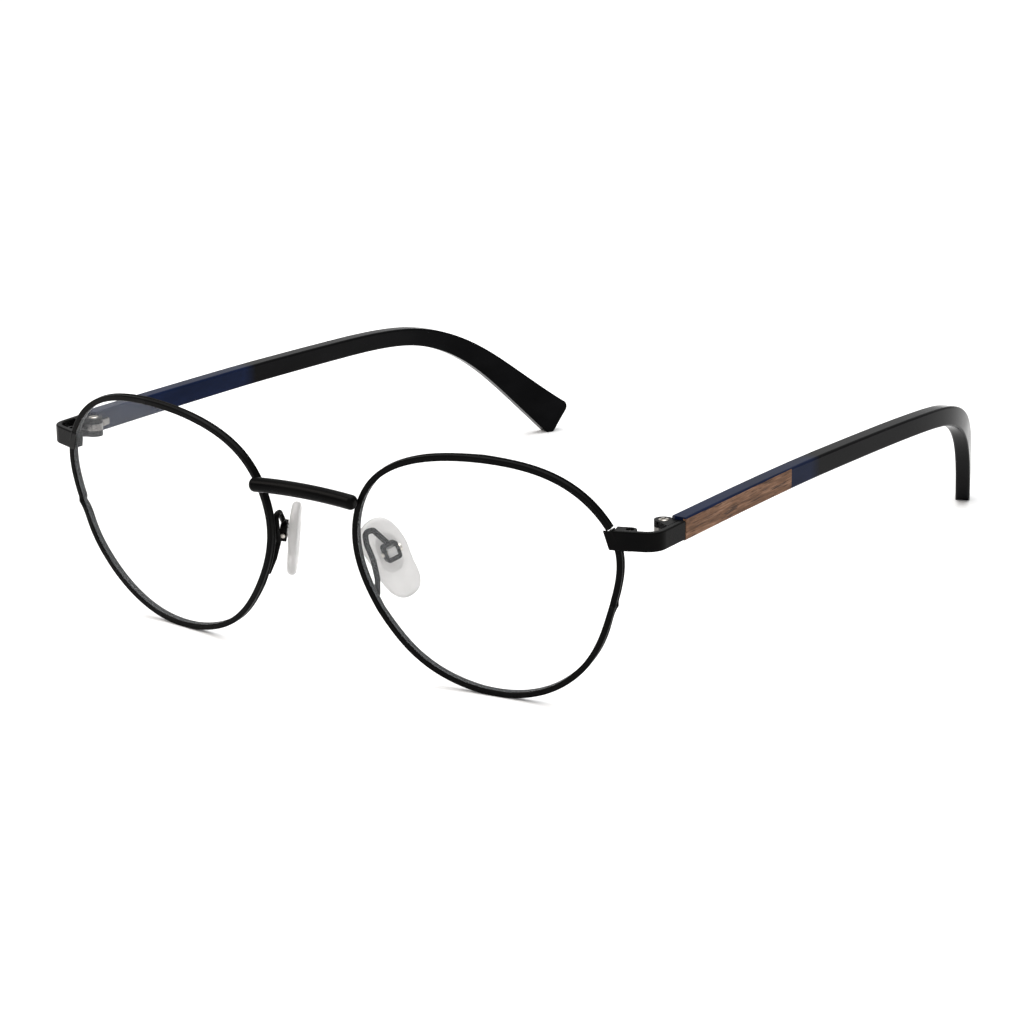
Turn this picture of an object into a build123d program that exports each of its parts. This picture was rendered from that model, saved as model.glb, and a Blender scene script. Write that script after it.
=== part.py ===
from build123d import *
import math
import os

# Round wire spectacles with wood-inlaid acetate temples, in millimetres.
#
# +Z is up, the lenses face -Y and the temples run back towards +Y.  The wearer's left side is +X.
# Everything is drawn for the left side about the middle of the nose and mirrored for the right.
# The origin is the middle of the footprint, on the surface that the rims and temple tips rest on.

# Driving dimensions -------------------------------------------------------------------------
# Placing: how far the drawing's own zero lies from the origin.
SETBACK = 76.52           # from the origin forward to the drawing's y = 0
FLOOR = -0.395            # height of the resting surface in the drawing

# Lens shape: distance from the boxing centre to the rim's inner edge, every 30 degrees from
# where the rim opens, counter-clockwise as the wearer's left lens is seen from the front.
SPLIT_ANGLE = 25.0        # above the horizontal, on the temple side
LENS_RADII = (25.17, 22.72, 20.29, 20.98, 23.61, 23.61, 21.74, 21.34, 21.12, 21.66, 22.0,
              22.89)
LENS_CENTRE = (33.28, 0.34, 21.31)
FACE_FORM = 6.28          # degrees that each lens turns about the vertical
PANTO = 7.9               # degrees that the top of each lens leans forward
BASE_RADIUS = 101.7       # sphere that the lens and the rim follow
LENS_THICKNESS = 1.0

# Rim wire
RIM_WIDTH = 1.05          # seen from the front
RIM_DEPTH = 1.4           # front to back
GROOVE_DEPTH = 0.33
GROOVE_AT = 0.68          # middle of the lens groove, from the rim's front
LENS_ZONE_MARGIN = 0.45   # how far the space kept clear for the lens reaches into the rim
EDGE_GAP = 0.03           # between the lens and the rim's inner lips
BEVEL_HEIGHT = 0.12
BEVEL_THICKNESS = 0.12
SPLIT_SHARE = 0.0009      # of the rim's length, left open on each side of the split

# Bridge bar
BRIDGE_DIAMETER = 2.6
BRIDGE_HALF = 10.9        # to its end
BRIDGE_Y = -1.85
BRIDGE_END_Z = 31.5
BRIDGE_RISE = 0.5
BRIDGE_ROUNDING = 0.9

# End piece: a flat band that turns from the lens plane to the temple
BAND_TOP, BAND_BOTTOM = 32.55, 29.25
BAND_THICKNESS = 1.1
BAND_START = (55.0, 4.05)
BAND_SWEEP = 20.0         # degrees that its front run is swept back
BAND_OUTER_X = 63.75
BAND_END_Y = 15.85
BAND_CORNER = 3.6
BAND_SLANT = 1.0          # how much further out the inner end starts at the bottom
BAND_EDGE = 0.28

# Closing block of the rim, behind the end piece
LOCK_AXIS = (58.55, 7.2)
LOCK_START_X = 56.4
LOCK_WIDTH = 2.3
LOCK_TOP, LOCK_SPLIT, LOCK_BOTTOM = 32.5, 30.8, 29.1
LOCK_GAP = 0.15
LOCK_SCREW_RADIUS = 0.45
LOCK_HEAD_RADIUS = 0.72
LOCK_HEAD_HEIGHT = 0.4
LOCK_RECESS = 0.35

# Hinge
HINGE_AXIS = (60.3, 14.78)
BARREL_RADIUS = 1.6
BARREL_CLEARANCE = 0.15   # of the temple's front end around the barrel
HINGE_TOP, HINGE_BOTTOM = 32.5, 29.1
KNUCKLE_TOP, KNUCKLE_BOTTOM = 31.4, 30.2
KNUCKLE_GAP = 0.05
SCREW_RADIUS = 0.6
SCREW_FIT = 0.03          # running clearance in the temple's knuckle
HEAD_RADIUS = 0.85
HEAD_HEIGHT = 0.45
HEAD_DOME = 0.1
LEAF_FOOT = 0.6           # how far the leaf reaches into the temple's front
LEAF_LENGTH = 3.4
SLOT_WIDTH = 0.28
SLOT_DEPTH = 0.22

# Temple: its middle line runs straight back, then bends down and inwards behind the ear
TEMPLE_LINE = ((62.35, 16.0, 31.02), (62.2, 31.0, 30.87), (62.05, 46.0, 30.62),
               (62.0, 61.0, 30.27), (62.0, 76.0, 29.72), (62.0, 91.0, 29.07),
               (61.85, 106.3, 28.1), (60.6, 120.2, 25.85), (57.5, 132.9, 20.15),
               (53.55, 143.5, 11.6), (48.8, 154.4, 1.83))
TEMPLE_SECTIONS = 20
TEMPLE_HEIGHT = 3.9       # at the hinge
TEMPLE_TAPER = 0.5        # height lost by the tip, were it not for the paddle
PADDLE_START = 0.6        # share of the length
PADDLE_SWELL = 4.8        # height gained by the tip
PADDLE_POWER = 2.2
TEMPLE_THICKNESS = 2.9
TEMPLE_CORNER = 0.4       # rounding of its long edges
TIP_CORNER = 2.7          # rounding of the paddle's end, from the side
TIP_ROUNDING = 1.0        # and from above
INLAY_END_Y = 52.4
INLAY_THICKNESS = 0.6
INLAY_TOP_MARGIN = 0.25
CORE_END_Y = 138.0
CORE_HEIGHT, CORE_THICKNESS = 1.5, 0.9

# Nose pad: its own frame has the pad's length along 'up' and its free face towards the nose
PAD_CENTRE = (10.57, 9.26, 19.05)
PAD_UP = (-0.259, -0.211, 0.943)
PAD_AWAY = (0.846, -0.521, 0.116)   # from the nose towards the lens
PAD_THICKNESS = 2.0
PAD_ROUNDING = 0.8
# Pad outline: backward, up
PAD_OUTLINE = ((1.3, 6.2), (2.5, 3.8), (3.1, 1.0), (2.9, -2.2), (2.6, -5.2), (1.3, -7.3),
               (-0.5, -7.2), (-2.3, -5.3), (-3.6, -2.2), (-4.3, 1.8), (-4.2, 5.2),
               (-2.9, 7.5), (-0.5, 7.7))
INSERT_LENGTH, INSERT_WIDTH, INSERT_THICKNESS = 7.0, 3.8, 0.5
INSERT_OFFSET = (-0.5, 1.2)  # backward and up from the pad's centre
BOX_OFFSET = (-0.6, 1.85, 1.85)  # backward, up and away from the pad's centre
BOX_HEIGHT, BOX_WIDTH, BOX_DEPTH, BOX_WALL = 3.3, 2.9, 1.2, 0.5
TAB_WIDTH, TAB_HEIGHT = 1.5, 1.5
TAB_REACH = 0.75          # past the pad screw's axis
PAD_SCREW_RADIUS = 0.4
PAD_SCREW_FIT = 0.04
PAD_HEAD_RADIUS, PAD_HEAD_HEIGHT = 0.75, 0.55
PAD_SCREW_TAIL = 0.4
ARM_RADIUS = 0.5
ARM_POINTS = ((11.55, 3.0, 14.5), (10.95, 3.9, 16.8), (10.05, 4.05, 19.9),
              (9.5, 3.0, 22.9), (9.4, 2.65, 25.1), (9.9, 4.4, 25.1))
ARM_RADII = (1.2, 1.4, 1.2, 0.75, 0.75)

FAR = 200.0


# Helpers --------------------------------------------------------------------------------------
def unit(vector):
    return Vector(*vector).normalized()


def turned(sketch_point, angle, radius):
    """The point at a distance and an angle in degrees from another, in a plane."""
    return (sketch_point[0] + radius * math.cos(math.radians(angle)),
            sketch_point[1] + radius * math.sin(math.radians(angle)))


def cylinder(centre, radius, low, high):
    """A vertical cylinder between two heights."""
    return Pos(centre[0], centre[1], (low + high) / 2) * Cylinder(radius, high - low)


def slab(x, y, z):
    """A box from three (low, high) pairs."""
    size = [pair[1] - pair[0] for pair in (x, y, z)]
    middle = [(pair[1] + pair[0]) / 2 for pair in (x, y, z)]
    return Pos(*middle) * Box(*size)


def prism(points, low, high):
    """A polygon in plan, raised between two heights."""
    return Pos(0, 0, low) * extrude(make_face(Polyline(*points, close=True)), high - low)


# Lens frame -----------------------------------------------------------------------------------
def lens_place():
    return Pos(*LENS_CENTRE) * Rot(0, 0, FACE_FORM) * Rot(PANTO, 0, 0)


def lens_point(index, extra=0.0):
    """A point of the lens outline on the base sphere, in the lens frame."""
    angle = math.radians(SPLIT_ANGLE + 30 * index)
    radius = LENS_RADII[index] + extra
    sag = BASE_RADIUS - math.sqrt(BASE_RADIUS ** 2 - radius ** 2)
    return (radius * math.cos(angle), sag, radius * math.sin(angle))


def lens_prism(extra):
    """The lens outline, made larger or smaller, as a bar along the viewing direction."""
    points = [lens_point(i, extra) for i in range(12)]
    outline = Spline(*[(x, z) for x, _, z in points], periodic=True)
    return extrude(make_face(Plane.XZ * outline), 12, both=True)


def base_shell(front, back):
    """The space between two depths behind the base sphere."""
    centre = Pos(0, BASE_RADIUS, 0)
    return centre * (Sphere(BASE_RADIUS - front) - Sphere(BASE_RADIUS - back))


def lens():
    front = GROOVE_AT - LENS_THICKNESS / 2
    body = lens_prism(-EDGE_GAP) & base_shell(front, front + LENS_THICKNESS)
    ridge_front = GROOVE_AT - BEVEL_THICKNESS / 2
    ridge = lens_prism(BEVEL_HEIGHT) & base_shell(ridge_front, ridge_front + BEVEL_THICKNESS)
    return lens_place() * (body + ridge)


def lens_zone():
    """The space behind the front of the lens, out to about the middle of the rim wire."""
    return lens_place() * (lens_prism(LENS_ZONE_MARGIN) & base_shell(0, 2 * RIM_DEPTH))


def rim_section(grooved):
    """The rim wire's section: x outward from the lens, y back from the front."""
    w, d = RIM_WIDTH, RIM_DEPTH
    outline = [(0.0, 0.1), (0.1, 0.0), (w - 0.2, 0.0), (w - 0.06, 0.06), (w, 0.2), (w, 0.42),
               (w - 0.17, 0.55), (w - 0.17, 0.95), (w - 0.05, 1.06), (w - 0.06, d - 0.12),
               (w - 0.2, d), (0.1, d), (0.0, d - 0.1)]
    if grooved:
        half = GROOVE_DEPTH * 0.85
        outline += [(0.0, GROOVE_AT + half), (GROOVE_DEPTH, GROOVE_AT), (0.0, GROOVE_AT - half)]
    return outline


def rim(grooved=True):
    """The wire around one lens, open at the closing block."""
    loop = Spline(*[lens_point(i) for i in range(12)], periodic=True)
    path = loop.trim(SPLIT_SHARE, 1 - SPLIT_SHARE)
    outward = Vector(0, 1, 0).cross(path % 0)
    plane = Plane(origin=path @ 0, x_dir=outward, z_dir=outward.cross(Vector(0, 1, 0)))
    section = make_face(plane * Polyline(*rim_section(grooved), close=True))
    return lens_place() * sweep(section, path=path)


# Bridge ---------------------------------------------------------------------------------------
def bridge(envelope):
    """The nose bar, laid across the front of both rims and brazed there."""
    middle = (0, BRIDGE_Y, BRIDGE_END_Z + BRIDGE_RISE)
    ends = [(side * BRIDGE_HALF, BRIDGE_Y, BRIDGE_END_Z) for side in (-1, 1)]
    path = ThreePointArc(ends[0], middle, ends[1])
    section = Plane(origin=path @ 0, z_dir=path % 0) * Circle(BRIDGE_DIAMETER / 2)
    bar = sweep(section, path=path)
    bar = fillet(bar.edges().filter_by(GeomType.CIRCLE), BRIDGE_ROUNDING)
    return bar - envelope - mirror(envelope, Plane.YZ)


# End piece and hinge --------------------------------------------------------------------------
def band_polygon():
    """The end piece in plan: outer run, outer corner, rear end, then back along the inside."""
    slope = math.tan(math.radians(BAND_SWEEP))
    across = BAND_THICKNESS / math.cos(math.radians(BAND_SWEEP))
    x0, y0 = BAND_START
    inner_x = BAND_OUTER_X - BAND_THICKNESS
    outer_corner = (BAND_OUTER_X, y0 + slope * (BAND_OUTER_X - x0))
    inner_corner = (inner_x, y0 + slope * (inner_x - x0) + across)
    return ((x0, y0), outer_corner, (BAND_OUTER_X, BAND_END_Y), (inner_x, BAND_END_Y),
            inner_corner, (x0, y0 + across))


def band():
    points = band_polygon()
    face = make_face(Polyline(*points, close=True))
    outer = face.vertices().sort_by_distance((*points[1], 0))[0]
    face = fillet(outer, BAND_CORNER)
    inner = face.vertices().sort_by_distance((*points[4], 0))[0]
    face = fillet(inner, BAND_CORNER - BAND_THICKNESS)
    bar = extrude(face, BAND_TOP - BAND_BOTTOM)
    faces = bar.faces().sort_by(Axis.Z)
    bar = fillet(faces[0].edges() + faces[-1].edges(), BAND_EDGE)
    bar = Pos(0, 0, BAND_BOTTOM) * bar
    lean = math.degrees(math.atan2(BAND_SLANT, BAND_TOP - BAND_BOTTOM))
    trim = Pos(BAND_START[0] + BAND_EDGE, BAND_START[1], BAND_TOP) * Rot(0, -lean, 0)
    return bar - trim * Pos(-5, 0, 0) * Box(10, 10, 10)


def knuckle_plate(low, high):
    """A hinge barrel's slice with the web that joins it to the end piece's inner face."""
    x, y = HINGE_AXIS
    inner_x = BAND_OUTER_X - BAND_THICKNESS
    web = prism(((x, y - BARREL_RADIUS), (inner_x, y - BARREL_RADIUS - 1.2),
                 (inner_x, BAND_END_Y - 0.1), (x, y + 0.9)), low, high)
    return cylinder(HINGE_AXIS, BARREL_RADIUS, low, high) + web


def end_piece(envelope):
    body = band() - lens_zone()
    body += knuckle_plate(KNUCKLE_TOP + KNUCKLE_GAP, HINGE_TOP)
    body += knuckle_plate(HINGE_BOTTOM, KNUCKLE_BOTTOM - KNUCKLE_GAP)
    return body - hinge_screw_shape() - envelope - lock_screw_hole()


def slotted(head, centre, top):
    """Cuts a cross slot into the top of a screw head."""
    for across in ((3.0, SLOT_WIDTH), (SLOT_WIDTH, 3.0)):
        cut = Pos(centre[0], centre[1], top) * Box(across[0], across[1], 2 * SLOT_DEPTH)
        head -= cut
    return head


def hinge_screw_shape():
    """The hinge screw without its slot, as the hole that it fills."""
    shank = cylinder(HINGE_AXIS, SCREW_RADIUS, HINGE_BOTTOM + 0.1, HINGE_TOP)
    head = cylinder(HINGE_AXIS, HEAD_RADIUS, HINGE_TOP - HEAD_HEIGHT, HINGE_TOP + HEAD_DOME)
    top_edge = head.edges().filter_by(GeomType.CIRCLE).sort_by(Axis.Z)[-1]
    return shank + chamfer(top_edge, HEAD_DOME)


def hinge_screw():
    return slotted(hinge_screw_shape(), HINGE_AXIS, HINGE_TOP + HEAD_DOME)


# Rim closing block ----------------------------------------------------------------------------
def lock_half(low, high, envelope, end_piece_shape):
    """One half of the closing block, brazed to its end of the split rim."""
    direction = BAND_SWEEP
    length = (LOCK_AXIS[0] - LOCK_START_X) / math.cos(math.radians(direction))
    start = turned(LOCK_AXIS, 180 + direction, length)
    half = LOCK_WIDTH / 2
    corners = [turned(start, direction + 90, half), turned(start, direction - 90, half),
               turned(LOCK_AXIS, direction - 90, half), turned(LOCK_AXIS, direction + 90, half)]
    block = prism(corners, low, high) + cylinder(LOCK_AXIS, half, low, high)
    return block - envelope - lens_zone() - end_piece_shape - lock_screw_hole()


def lock_screw_hole():
    head_top = LOCK_TOP - LOCK_RECESS
    return (cylinder(LOCK_AXIS, LOCK_SCREW_RADIUS, LOCK_BOTTOM - 1, LOCK_TOP)
            + cylinder(LOCK_AXIS, LOCK_HEAD_RADIUS, head_top - LOCK_HEAD_HEIGHT, LOCK_TOP + 1))


def rim_screw():
    head_top = LOCK_TOP - LOCK_RECESS
    body = (cylinder(LOCK_AXIS, LOCK_SCREW_RADIUS, LOCK_BOTTOM, head_top)
            + cylinder(LOCK_AXIS, LOCK_HEAD_RADIUS, head_top - LOCK_HEAD_HEIGHT, head_top))
    return slotted(body, LOCK_AXIS, head_top)


# Temple ---------------------------------------------------------------------------------------
def temple_height(share):
    swell = max(0.0, (share - PADDLE_START) / (1 - PADDLE_START)) ** PADDLE_POWER
    return TEMPLE_HEIGHT - TEMPLE_TAPER * share + PADDLE_SWELL * swell


def temple_frames():
    """Planes across the temple at even steps, with x outward and y up, and each one's share."""
    line = Spline(*TEMPLE_LINE)
    frames = []
    for i in range(TEMPLE_SECTIONS + 1):
        share = i / TEMPLE_SECTIONS
        along = line % share if i else Vector(0, 1, 0)
        outward = along.cross(Vector(0, 0, 1))
        frames.append((share, Plane(origin=line @ share, x_dir=outward, z_dir=-along)))
    return frames


def temple_blank():
    sections = [frame * RectangleRounded(TEMPLE_THICKNESS, temple_height(share), TEMPLE_CORNER)
                for share, frame in temple_frames()]
    gap = cylinder(HINGE_AXIS, BARREL_RADIUS + BARREL_CLEARANCE, 0, FAR)
    return (loft(sections) & tip_keep()) - gap


def tip_keep():
    """The space inside two round-ended bars that round the end of the paddle."""
    _, frame = temple_frames()[-1]
    bars = []
    for across, width, corner in ((frame.x_dir, temple_height(1.0), TIP_CORNER),
                                  (frame.y_dir, TEMPLE_THICKNESS, TIP_ROUNDING)):
        length = 1.2 * corner
        side = Plane(origin=frame.origin, x_dir=frame.z_dir, z_dir=across)
        shape = Pos(length / 2, 0) * Rectangle(length, width)
        tip = shape.vertices().sort_by(Axis.X)[:2]
        shape = fillet(tip, corner) + Pos(length + FAR / 2, 0) * Rectangle(FAR, FAR)
        bars.append(extrude(side * shape, FAR, both=True))
    return bars[0] & bars[1]


def core_wire():
    start = TEMPLE_LINE[0][1] + LEAF_FOOT
    sections = [frame * Rectangle(CORE_THICKNESS, CORE_HEIGHT) for _, frame in temple_frames()]
    keep = slab((0, FAR), (start, CORE_END_Y), (-FAR, FAR))
    return loft(sections) & keep


def wood_inlay(blank):
    """The veneer let into the outer face of the temple's front third."""
    x, y, z = TEMPLE_LINE[0]
    outer = x + TEMPLE_THICKNESS / 2
    top = TEMPLE_HEIGHT / 2 - INLAY_TOP_MARGIN
    bottom = -TEMPLE_HEIGHT / 2
    _, y_end, z_end = TEMPLE_LINE[2]
    drop = math.degrees(math.atan2(z - z_end, y_end - y))
    block = slab((outer - INLAY_THICKNESS, outer + 2), (-1, INLAY_END_Y - y), (bottom, top))
    return blank & (Pos(0, y, z) * Rot(-drop, 0, 0) * block)


def hinge_leaf(core):
    """The temple's middle knuckle, its neck and the foot that the core wire grows from."""
    x, y = HINGE_AXIS
    low, high = KNUCKLE_BOTTOM, KNUCKLE_TOP
    barrel = cylinder(HINGE_AXIS, BARREL_RADIUS, low, high)
    middle, front = TEMPLE_LINE[0][:2]
    inner = middle - TEMPLE_THICKNESS / 2
    neck = prism(((x - 0.2, y + 0.5), (x + 1.2, y + 0.6), (inner + 0.9, front + LEAF_FOOT),
                  (inner, front + LEAF_LENGTH), (inner - 0.5, front + LEAF_LENGTH - 0.2),
                  (inner - 0.9, front + 0.4)), low, high)
    foot = slab((inner + 0.1, middle + CORE_THICKNESS / 2), (front, front + LEAF_FOOT), (low, high))
    hole = cylinder(HINGE_AXIS, SCREW_RADIUS + SCREW_FIT, low - 1, high + 1)
    return barrel + neck + foot - hole - core


# Nose pad -------------------------------------------------------------------------------------
def pad_plane():
    """Plane of the pad: x backward, y up, z away from the nose."""
    up, away = unit(PAD_UP), unit(PAD_AWAY)
    return Plane(origin=PAD_CENTRE, x_dir=up.cross(away), z_dir=away)


def box_place():
    return pad_plane().location * Pos(*BOX_OFFSET)


def pad_screw_shape():
    """The pad screw along the box's own x axis: head to the back, tail to the front."""
    half = BOX_WIDTH / 2
    shank = Pos(-PAD_SCREW_TAIL / 2, 0, 0) * Cylinder(PAD_SCREW_RADIUS, 2 * half + PAD_SCREW_TAIL,
                                                     rotation=(0, 90, 0))
    head = Cylinder(PAD_HEAD_RADIUS, PAD_HEAD_HEIGHT, rotation=(0, 90, 0))
    head = fillet(head.edges().filter_by(GeomType.CIRCLE).sort_by(Axis.X)[-1], 0.25)
    return shank + Pos(half + PAD_HEAD_HEIGHT / 2, 0, 0) * head


def pad_screw():
    slot = Pos(BOX_WIDTH / 2 + PAD_HEAD_HEIGHT, 0, 0) * Box(2 * SLOT_DEPTH, 3, SLOT_WIDTH)
    return box_place() * (pad_screw_shape() - slot)


def pad_box():
    """The open box at the end of the pad arm, in its own frame."""
    outer = extrude(RectangleRounded(BOX_WIDTH, BOX_HEIGHT, 0.6), BOX_DEPTH / 2, both=True)
    window = extrude(RectangleRounded(BOX_WIDTH - 2 * BOX_WALL, BOX_HEIGHT - 2 * BOX_WALL, 0.25),
                     BOX_DEPTH, both=True)
    return outer - window - pad_screw_shape()


def pad_arm(envelope):
    """The soldered wire that rises behind the rim, loops over and ends in the pad box."""
    box_top = box_place() * Pos(0, BOX_HEIGHT / 2 - 0.2, 0)
    points = list(ARM_POINTS) + [tuple(box_top.position)]
    path = FilletPolyline(*points, radius=list(ARM_RADII))
    section = Plane(origin=path @ 0, z_dir=path % 0) * Circle(ARM_RADIUS)
    wire = sweep(section, path=path)
    wire += Pos(*points[0]) * Sphere(ARM_RADIUS)
    window = extrude(RectangleRounded(BOX_WIDTH - 2 * BOX_WALL, BOX_HEIGHT - 2 * BOX_WALL, 0.25),
                     BOX_DEPTH, both=True)
    return wire - envelope - box_place() * window + box_place() * pad_box()


def pad_insert():
    """The stiff plate inside the pad, with the tab that the pad screw passes through."""
    plate = extrude(SlotCenterToCenter(INSERT_LENGTH - INSERT_WIDTH, INSERT_WIDTH, rotation=90),
                    INSERT_THICKNESS / 2, both=True)
    reach = BOX_OFFSET[2] + TAB_REACH
    plate = Pos(*INSERT_OFFSET, 0) * plate
    tab = Pos(BOX_OFFSET[0], BOX_OFFSET[1], reach / 2) * Box(TAB_WIDTH, TAB_HEIGHT, reach)
    hole = Pos(*BOX_OFFSET) * Cylinder(PAD_SCREW_RADIUS + PAD_SCREW_FIT, 10, rotation=(0, 90, 0))
    return pad_plane().location * (plate + tab - hole)


def nose_pad(insert):
    face = make_face(Spline(*PAD_OUTLINE, periodic=True))
    body = extrude(face, PAD_THICKNESS / 2, both=True)
    body = fillet(body.edges(), PAD_ROUNDING)
    return pad_plane().location * body - insert


# Assembly -------------------------------------------------------------------------------------
def left_side(envelope):
    blank = temple_blank()
    core = core_wire()
    inlay = wood_inlay(blank)
    leaf = hinge_leaf(core)
    end = end_piece(envelope)
    insert = pad_insert()
    return {
        "rim": rim(),
        "lens": lens(),
        "end_piece": end,
        "rim_lock_upper": lock_half(LOCK_SPLIT + LOCK_GAP / 2, LOCK_TOP, envelope, end),
        "rim_lock_lower": lock_half(LOCK_BOTTOM, LOCK_SPLIT - LOCK_GAP / 2, envelope, end),
        "rim_screw": rim_screw(),
        "hinge_screw": hinge_screw(),
        "temple_hinge_leaf": leaf,
        "temple_core_wire": core,
        "temple_arm": blank - inlay - core - leaf,
        "wood_inlay": inlay,
        "pad_arm": pad_arm(envelope),
        "pad_screw": pad_screw(),
        "pad_insert": insert,
        "nose_pad": nose_pad(insert),
    }


def main():
    os.makedirs("parts", exist_ok=True)
    place = Pos(0, -SETBACK, -FLOOR)
    envelope = rim(grooved=False)
    nodes = {"bridge": bridge(envelope)}
    for name, shape in left_side(envelope).items():
        nodes["left_" + name] = shape
        nodes["right_" + name] = mirror(shape, Plane.YZ)
    for name, shape in nodes.items():
        export_step(place * shape, os.path.join("parts", name + ".step"))


main()
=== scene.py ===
import math

import bmesh
import bpy
from mathutils import Matrix, Vector


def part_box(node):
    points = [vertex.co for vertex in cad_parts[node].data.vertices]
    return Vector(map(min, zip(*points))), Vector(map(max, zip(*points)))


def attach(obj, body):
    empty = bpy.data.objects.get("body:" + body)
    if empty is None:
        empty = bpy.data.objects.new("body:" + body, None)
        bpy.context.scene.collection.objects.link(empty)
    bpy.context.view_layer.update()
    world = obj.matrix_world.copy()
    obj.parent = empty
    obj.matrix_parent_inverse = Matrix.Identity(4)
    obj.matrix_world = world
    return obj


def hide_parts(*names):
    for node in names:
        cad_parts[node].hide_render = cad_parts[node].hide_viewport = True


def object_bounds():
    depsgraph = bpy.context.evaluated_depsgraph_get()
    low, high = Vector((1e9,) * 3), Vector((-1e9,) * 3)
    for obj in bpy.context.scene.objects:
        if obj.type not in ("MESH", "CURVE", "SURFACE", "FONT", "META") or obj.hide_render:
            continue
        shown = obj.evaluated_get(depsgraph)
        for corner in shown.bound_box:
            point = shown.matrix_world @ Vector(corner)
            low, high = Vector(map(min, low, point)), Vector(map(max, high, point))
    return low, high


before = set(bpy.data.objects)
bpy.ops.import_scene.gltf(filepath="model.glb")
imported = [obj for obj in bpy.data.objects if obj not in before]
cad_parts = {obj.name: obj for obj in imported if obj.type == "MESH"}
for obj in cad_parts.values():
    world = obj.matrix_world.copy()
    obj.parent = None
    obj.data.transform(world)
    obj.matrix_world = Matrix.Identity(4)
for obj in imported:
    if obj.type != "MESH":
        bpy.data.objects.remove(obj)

# Looks of a pair of round wire spectacles: black enamelled wire front, nickel hinges, navy-to-black
# acetate temples with a walnut inlay, silicone nose pads and clear lenses.  Metres throughout.

CAD_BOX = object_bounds()

# Camera
AZIMUTH, ELEVATION, ROLL = 33.658, 16.808, -0.482   # degrees; azimuth 0 looks along +Y
DISTANCE = 0.5129
TARGET = Vector((0.022448, -0.052342, 0.025831))
FOCAL_MM = 105.43
SHIFT = (0.0113, -0.00115)

# Studio
FLOOR_HALF = 3.0
WORLD_STRENGTH = 0.75
# Each softbox: name, place, (width, height), power in watts, colour
SOFTBOXES = (
    ("top_soft", (0.0, 0.1, 0.9), (1.0, 1.0), 9.0, (1.0, 1.0, 1.0)),
    ("left_soft", (-0.55, -0.55, 0.65), (0.35, 0.5), 3.0, (1.0, 0.93, 0.86)),
)

# Where the acetate turns from navy to black, behind the end of the inlay
FADE_START, FADE_END = 0.007, 0.0105

# Nose pads: directions of the left pad; the right one is its mirror image
PAD_UP = Vector((-0.259, -0.211, 0.943)).normalized()
PAD_AWAY = Vector((0.846, -0.521, 0.116)).normalized()
PAD_STEPS = 64            # points round the pad
PAD_EDGE_STEPS = 12       # rings round its edge
PAD_EDGE = 0.7            # width of the rounded edge, as a share of half the thickness
PAD_CROWN = 0.22          # rise of each face, likewise
PAD_CROWN_RINGS = (0.25, 0.5, 0.75)
PAD_RAY_WIDTH = 0.12      # sine of the angle within which a CAD point counts for a ray

SIDES = ("left", "right")


# Material helpers -----------------------------------------------------------------------------
class Shader:
    """A Principled material with short calls for the nodes that feed it."""

    def __init__(self, name, **numbers):
        self.material = bpy.data.materials.new(name)
        self.material.use_nodes = True
        self.nodes = self.material.node_tree.nodes
        self.links = self.material.node_tree.links
        self.bsdf = self.nodes["Principled BSDF"]
        for socket, value in numbers.items():
            self.bsdf.inputs[socket.replace("_", " ")].default_value = value
        self.place = self.add("ShaderNodeTexCoord").outputs["Object"]

    def add(self, kind, **settings):
        node = self.nodes.new(kind)
        for key, value in settings.items():
            setattr(node, key, value)
        return node

    def link(self, source, target):
        self.links.new(source, target)

    def feed(self, source, socket):
        self.links.new(source, self.bsdf.inputs[socket])

    def stretched(self, scale, turn=(0, 0, 0)):
        """Object coordinates in metres, scaled and turned."""
        node = self.add("ShaderNodeMapping")
        node.inputs["Scale"].default_value = scale
        node.inputs["Rotation"].default_value = [math.radians(a) for a in turn]
        self.link(self.place, node.inputs["Vector"])
        return node.outputs["Vector"]

    def noise(self, vector, scale, detail=3.0, roughness=0.5, distortion=0.0):
        node = self.add("ShaderNodeTexNoise")
        for socket, value in (("Scale", scale), ("Detail", detail), ("Roughness", roughness),
                              ("Distortion", distortion)):
            node.inputs[socket].default_value = value
        self.link(vector, node.inputs["Vector"])
        return node.outputs["Fac"]

    def spread(self, source, low, high, to_low, to_high):
        """Remaps a value from one range to another, clamped."""
        node = self.add("ShaderNodeMapRange")
        for socket, value in (("From Min", low), ("From Max", high),
                              ("To Min", to_low), ("To Max", to_high)):
            node.inputs[socket].default_value = value
        self.link(source, node.inputs["Value"])
        return node.outputs["Result"]

    def ramp(self, source, *stops):
        node = self.add("ShaderNodeValToRGB")
        elements = node.color_ramp.elements
        while len(elements) < len(stops):
            elements.new(0.5)
        for element, (position, colour) in zip(elements, stops):
            element.position = position
            element.color = (*colour, 1.0)
        self.link(source, node.inputs["Fac"])
        return node.outputs["Color"]

    def mix(self, factor, first, second, blend="MIX"):
        """Mixes two colours; each is a socket or a colour."""
        node = self.add("ShaderNodeMix", data_type="RGBA", blend_type=blend)
        sockets = [s for s in node.inputs if s.enabled]
        for socket, value in zip(sockets, (factor, first, second)):
            if isinstance(value, bpy.types.NodeSocket):
                self.link(value, socket)
            elif isinstance(value, float):
                socket.default_value = value
            else:
                socket.default_value = (*value, 1.0)
        return next(s for s in node.outputs if s.enabled)

    def axis(self, index):
        """One of the object coordinates."""
        node = self.add("ShaderNodeSeparateXYZ")
        self.link(self.place, node.inputs["Vector"])
        return node.outputs[index]

    def bump(self, height, distance, strength=1.0):
        node = self.add("ShaderNodeBump")
        node.inputs["Distance"].default_value = distance
        node.inputs["Strength"].default_value = strength
        self.link(height, node.inputs["Height"])
        self.feed(node.outputs["Normal"], "Normal")


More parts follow.
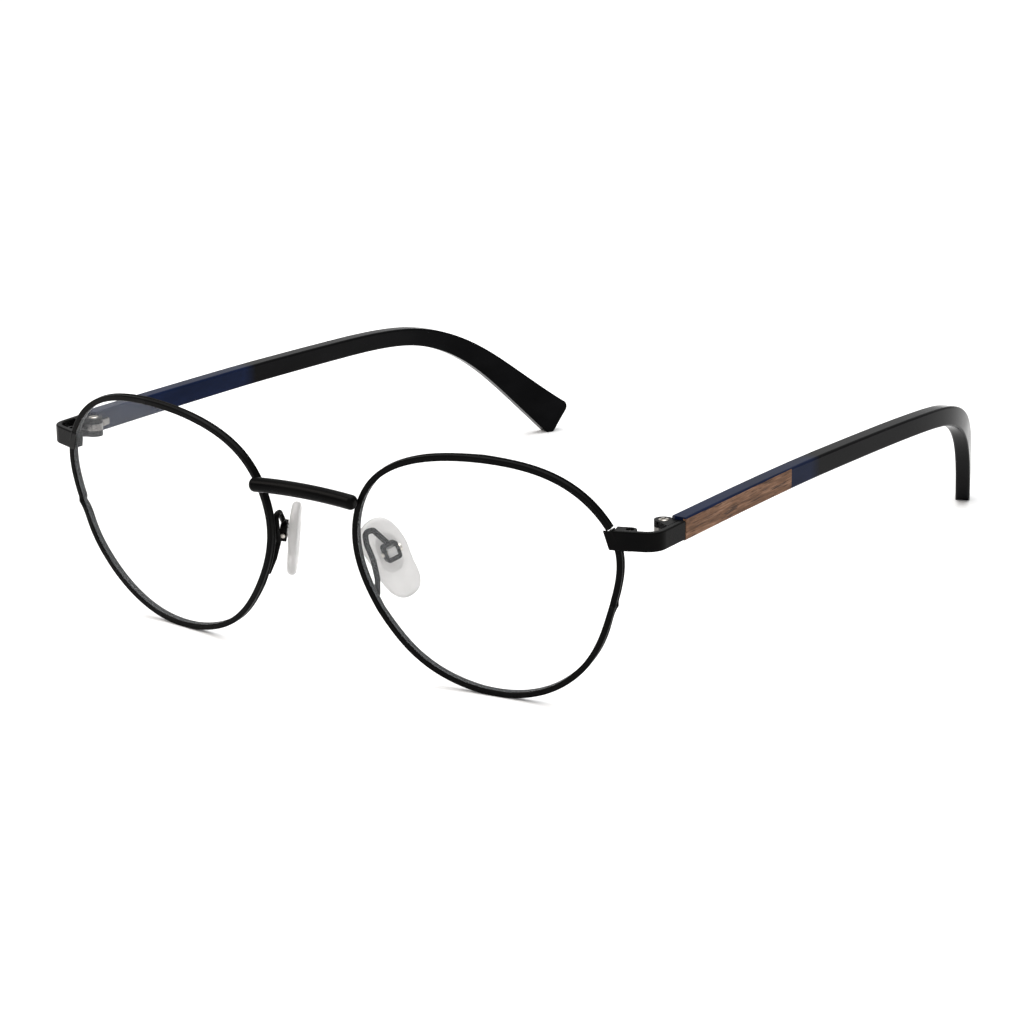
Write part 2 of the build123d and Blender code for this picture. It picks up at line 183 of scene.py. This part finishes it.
# Materials ------------------------------------------------------------------------------------
def black_enamel():
    """Semi-gloss stoved enamel: nearly black, with a faint orange peel."""
    s = Shader("black_enamel", Specular_IOR_Level=0.035)
    cloud = s.noise(s.stretched((1, 1, 1)), 160.0, 3.0)
    tone = s.ramp(cloud, (0.3, (0.001, 0.001, 0.0011)), (0.7, (0.0025, 0.0024, 0.0022)))
    s.feed(tone, "Base Color")
    s.feed(s.spread(cloud, 0.3, 0.7, 0.22, 0.32), "Roughness")
    s.bump(s.noise(s.stretched((1, 1, 1)), 900.0, 2.0), 0.00002, 0.35)
    return s.material


def nickel(name, dark, light):
    """Plated steel, finely brushed, a little dull in places."""
    s = Shader(name, Metallic=1.0)
    brushed = s.noise(s.stretched((1, 1, 12)), 1500.0, 3.0)
    patches = s.noise(s.stretched((1, 1, 1)), 700.0, 2.0)
    s.feed(s.ramp(patches, (0.25, dark), (0.75, light)), "Base Color")
    s.feed(s.spread(brushed, 0.3, 0.7, 0.2, 0.38), "Roughness")
    s.bump(brushed, 0.00002, 0.4)
    return s.material


def acetate(fade, black):
    """Polished acetate: navy up to one distance along the temple, black after the other."""
    s = Shader("acetate", Specular_IOR_Level=0.02)
    cloud = s.noise(s.stretched((1, 0.25, 1)), 260.0, 3.0)
    navy = s.ramp(cloud, (0.3, (0.003, 0.006, 0.019)), (0.7, (0.006, 0.011, 0.034)))
    dark = s.ramp(cloud, (0.3, (0.0012, 0.0012, 0.0014)), (0.7, (0.003, 0.003, 0.0034)))
    along = s.spread(s.axis(1), fade, black, 0.0, 1.0)
    s.feed(s.mix(along, navy, dark), "Base Color")
    s.feed(s.spread(cloud, 0.3, 0.7, 0.13, 0.2), "Roughness")
    s.bump(s.noise(s.stretched((1, 1, 1)), 420.0, 2.0), 0.00003, 0.25)
    return s.material


def walnut():
    """Open-grained veneer: long fibres, darker growth bands and short dark pores."""
    s = Shader("veneer", Specular_IOR_Level=0.06)
    fibres = s.noise(s.stretched((1, 0.05, 1), (3, 0, 0)), 6500.0, 4.0, 0.7, 0.15)
    bands = s.noise(s.stretched((1, 0.1, 1), (-4, 0, 0)), 1300.0, 3.0, 0.6, 0.6)
    pores = s.noise(s.stretched((1, 0.06, 1), (5, 0, 0)), 4200.0, 2.0, 0.5)
    base = s.ramp(bands, (0.3, (0.085, 0.045, 0.026)), (0.52, (0.16, 0.083, 0.048)),
                  (0.72, (0.26, 0.15, 0.095)))
    tone = s.ramp(fibres, (0.32, (0.62, 0.6, 0.58)), (0.68, (1.3, 1.3, 1.3)))
    body = s.mix(1.0, base, tone, "MULTIPLY")
    holes = s.spread(pores, 0.57, 0.64, 0.0, 0.9)
    s.feed(s.mix(holes, body, (0.05, 0.028, 0.019)), "Base Color")
    s.feed(s.spread(fibres, 0.3, 0.7, 0.45, 0.65), "Roughness")
    s.bump(s.spread(pores, 0.56, 0.7, 1.0, 0.0), 0.00006, 0.5)
    return s.material


def silicone():
    """Milky translucent silicone rubber with a satin skin."""
    s = Shader("silicone", IOR=1.41, Transmission_Weight=0.6)
    cloud = s.noise(s.stretched((1, 1, 1)), 420.0, 3.0)
    s.feed(s.ramp(cloud, (0.3, (0.62, 0.61, 0.6)), (0.7, (0.7, 0.69, 0.68))), "Base Color")
    s.feed(s.spread(cloud, 0.3, 0.7, 0.28, 0.42), "Roughness")
    s.bump(s.noise(s.stretched((1, 1, 1)), 800.0, 2.0), 0.00003, 0.3)
    return s.material


def pad_core():
    """The stiff clear plate moulded into each nose pad."""
    s = Shader("pad_core", IOR=1.45, Transmission_Weight=0.75)
    cloud = s.noise(s.stretched((1, 1, 1)), 500.0, 2.0)
    s.feed(s.ramp(cloud, (0.3, (0.86, 0.86, 0.85)), (0.7, (0.94, 0.94, 0.93))), "Base Color")
    s.feed(s.spread(cloud, 0.3, 0.7, 0.25, 0.4), "Roughness")
    s.bump(cloud, 0.00002, 0.3)
    return s.material


def lens_glass():
    """A clear lens, seen as a thin veil over what lies behind it and a faint sheen."""
    s = Shader("lens", Alpha=0.04, IOR=1.5)
    cloud = s.noise(s.stretched((1, 1, 1)), 30.0, 2.0)
    s.feed(s.ramp(cloud, (0.3, (0.84, 0.87, 0.9)), (0.7, (0.9, 0.93, 0.96))), "Base Color")
    s.feed(s.spread(cloud, 0.3, 0.7, 0.02, 0.06), "Roughness")
    s.bump(cloud, 0.000002, 0.05)
    return s.material


def floor_paper():
    s = Shader("floor", Roughness=0.9, Specular_IOR_Level=0.1)
    grain = s.noise(s.stretched((1, 1, 1)), 300.0, 3.0)
    s.feed(s.ramp(grain, (0.3, (0.93, 0.93, 0.93)), (0.7, (0.95, 0.95, 0.95))), "Base Color")
    return s.material


# Dressing the CAD nodes -----------------------------------------------------------------------
def dress(names, material):
    """Gives a material to CAD nodes."""
    for name in names:
        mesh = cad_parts[name].data
        mesh.materials.clear()
        mesh.materials.append(material)


def both(*names):
    """The names of the same nodes on both sides."""
    return [side + "_" + name for side in SIDES for name in names]


# Nose pads ------------------------------------------------------------------------------------
def pad_axes(side):
    """The pad's own axes: backward, up and away from the nose."""
    flip = Vector((1, 1, 1)) if side == "left" else Vector((-1, 1, 1))
    up, away = PAD_UP * flip, PAD_AWAY * flip
    backward = PAD_UP.cross(PAD_AWAY).normalized() * flip
    return backward, up, away


def pad_outline(name, centre, backward, up):
    """How far the CAD pad reaches from its centre along rays in its own plane."""
    rays = [(math.cos(2 * math.pi * i / PAD_STEPS), math.sin(2 * math.pi * i / PAD_STEPS))
            for i in range(PAD_STEPS)]
    points = [v.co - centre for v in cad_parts[name].data.vertices]
    flat = [(p.dot(backward), p.dot(up)) for p in points]
    reach = []
    for c, s in rays:
        ahead = [(x, y) for x, y in flat if x * c + y * s > 0]
        reach.append(max(math.hypot(x, y) for x, y in ahead
                         if abs(x * s - y * c) / math.hypot(x, y) < PAD_RAY_WIDTH))
    return reach, rays


def smooth_ring(values, rounds):
    """Averages each value with its neighbours round a closed ring."""
    count = len(values)
    for _ in range(rounds):
        values = [(values[i - 1] + 2 * values[i] + values[(i + 1) % count]) / 4
                  for i in range(count)]
    return values


def pad_profile(half, edge, crown):
    """Rings from one face's middle to the other's: (share of the face, inset, depth)."""
    side = half - crown
    face = [(t, edge, -side - crown * (1 - t * t)) for t in PAD_CROWN_RINGS]
    angles = [math.pi * (k / PAD_EDGE_STEPS - 0.5) for k in range(PAD_EDGE_STEPS + 1)]
    rim = [(1.0, edge * (1 - math.cos(angle)), side * math.sin(angle)) for angle in angles]
    return face + rim + [(t, inset, -depth) for t, inset, depth in reversed(face)]


def nose_pad(side, material):
    """A moulded pad: slightly crowned on both faces, with a fully rounded edge."""
    name = side + "_nose_pad"
    axes = pad_axes(side)
    backward, up, away = axes
    vertices = [v.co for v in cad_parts[name].data.vertices]
    ends = [(min(p.dot(a) for p in vertices), max(p.dot(a) for p in vertices)) for a in axes]
    centre = sum((a * (low + high) / 2 for a, (low, high) in zip(axes, ends)), Vector())
    half = (ends[2][1] - ends[2][0]) / 2
    reach, rays = pad_outline(name, centre, backward, up)
    reach = smooth_ring(reach, 2)
    mesh = bmesh.new()
    loops = []
    for share, inset, depth in pad_profile(half, PAD_EDGE * half, PAD_CROWN * half):
        loops.append([mesh.verts.new(centre + (backward * c + up * s) * ((r - inset) * share)
                                     + away * depth) for r, (c, s) in zip(reach, rays)])
    caps = [mesh.verts.new(centre - away * half), mesh.verts.new(centre + away * half)]
    for lower, upper in zip(loops, loops[1:]):
        for i in range(PAD_STEPS):
            j = (i + 1) % PAD_STEPS
            mesh.faces.new((lower[i], lower[j], upper[j], upper[i]))
    for cap, loop in zip(caps, (loops[0], loops[-1])):
        for i in range(PAD_STEPS):
            mesh.faces.new((cap, loop[i], loop[(i + 1) % PAD_STEPS]))
    bmesh.ops.recalc_face_normals(mesh, faces=mesh.faces)
    data = bpy.data.meshes.new(side + "_silicone_pad")
    mesh.to_mesh(data)
    mesh.free()
    for polygon in data.polygons:
        polygon.use_smooth = True
    piece = bpy.data.objects.new(side + "_silicone_pad", data)
    bpy.context.collection.objects.link(piece)
    data.materials.append(material)
    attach(piece, side + "_pad")
    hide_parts(name)


# Studio ---------------------------------------------------------------------------------------
def view_axes():
    """The camera's right, up and back directions."""
    az, el, roll = (math.radians(a) for a in (AZIMUTH, ELEVATION, ROLL))
    back = Vector((math.sin(az) * math.cos(el), -math.cos(az) * math.cos(el), math.sin(el)))
    level = Vector((math.cos(az), math.sin(az), 0))
    upright = back.cross(level)
    right = level * math.cos(roll) + upright * math.sin(roll)
    return right, back.cross(right), back


def camera():
    right, up, back = view_axes()
    data = bpy.data.cameras.new("camera")
    data.lens = FOCAL_MM
    data.shift_x, data.shift_y = SHIFT
    data.clip_start = 0.01
    eye = bpy.data.objects.new("camera", data)
    turn = Matrix((right, up, back)).transposed().to_4x4()
    eye.matrix_world = Matrix.Translation(TARGET + back * DISTANCE) @ turn
    bpy.context.collection.objects.link(eye)
    bpy.context.scene.camera = eye


def softbox(name, place, size, power, colour):
    """A rectangular lamp that faces the origin."""
    data = bpy.data.lights.new(name, "AREA")
    data.shape = "RECTANGLE"
    data.size, data.size_y = size
    data.energy = power
    data.color = colour
    lamp = bpy.data.objects.new(name, data)
    lamp.location = place
    lamp.rotation_euler = Vector(place).to_track_quat("Z", "Y").to_euler()
    bpy.context.collection.objects.link(lamp)


def floor():
    h, low = FLOOR_HALF, CAD_BOX[0][2]
    data = bpy.data.meshes.new("floor")
    data.from_pydata([(-h, -h, low), (h, -h, low), (h, h, low), (-h, h, low)], [], [(0, 1, 2, 3)])
    data.materials.append(floor_paper())
    sheet = bpy.data.objects.new("floor", data)
    bpy.context.collection.objects.link(sheet)


def studio():
    """White surroundings, a pale floor and soft lamps."""
    world = bpy.data.worlds.new("studio")
    world.use_nodes = True
    background = world.node_tree.nodes["Background"]
    background.inputs["Color"].default_value = (1, 1, 1, 1)
    background.inputs["Strength"].default_value = WORLD_STRENGTH
    bpy.context.scene.world = world
    bpy.context.scene.view_settings.view_transform = "Standard"
    floor()
    for lamp in SOFTBOXES:
        softbox(*lamp)


def main():
    front = ["bridge"] + both("rim", "end_piece", "rim_lock_upper", "rim_lock_lower", "pad_arm")
    dress(front, black_enamel())
    screws = both("rim_screw", "hinge_screw", "pad_screw")
    dress(screws, nickel("nickel", (0.42, 0.39, 0.35), (0.68, 0.65, 0.6)))
    # Painted shade: the hinge leaves and core wires are the same nickel as the screws, given a much
    # darker tone for the shade they sit in
    inside = both("temple_hinge_leaf", "temple_core_wire")
    dress(inside, nickel("shaded_nickel", (0.1, 0.095, 0.09), (0.2, 0.19, 0.18)))
    inlay_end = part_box("left_wood_inlay")[1][1]
    dress(both("temple_arm"), acetate(inlay_end + FADE_START, inlay_end + FADE_END))
    dress(both("wood_inlay"), walnut())
    dress(both("lens"), lens_glass())
    dress(both("pad_insert"), pad_core())
    rubber = silicone()
    for side in SIDES:
        nose_pad(side, rubber)
    studio()
    camera()


main()
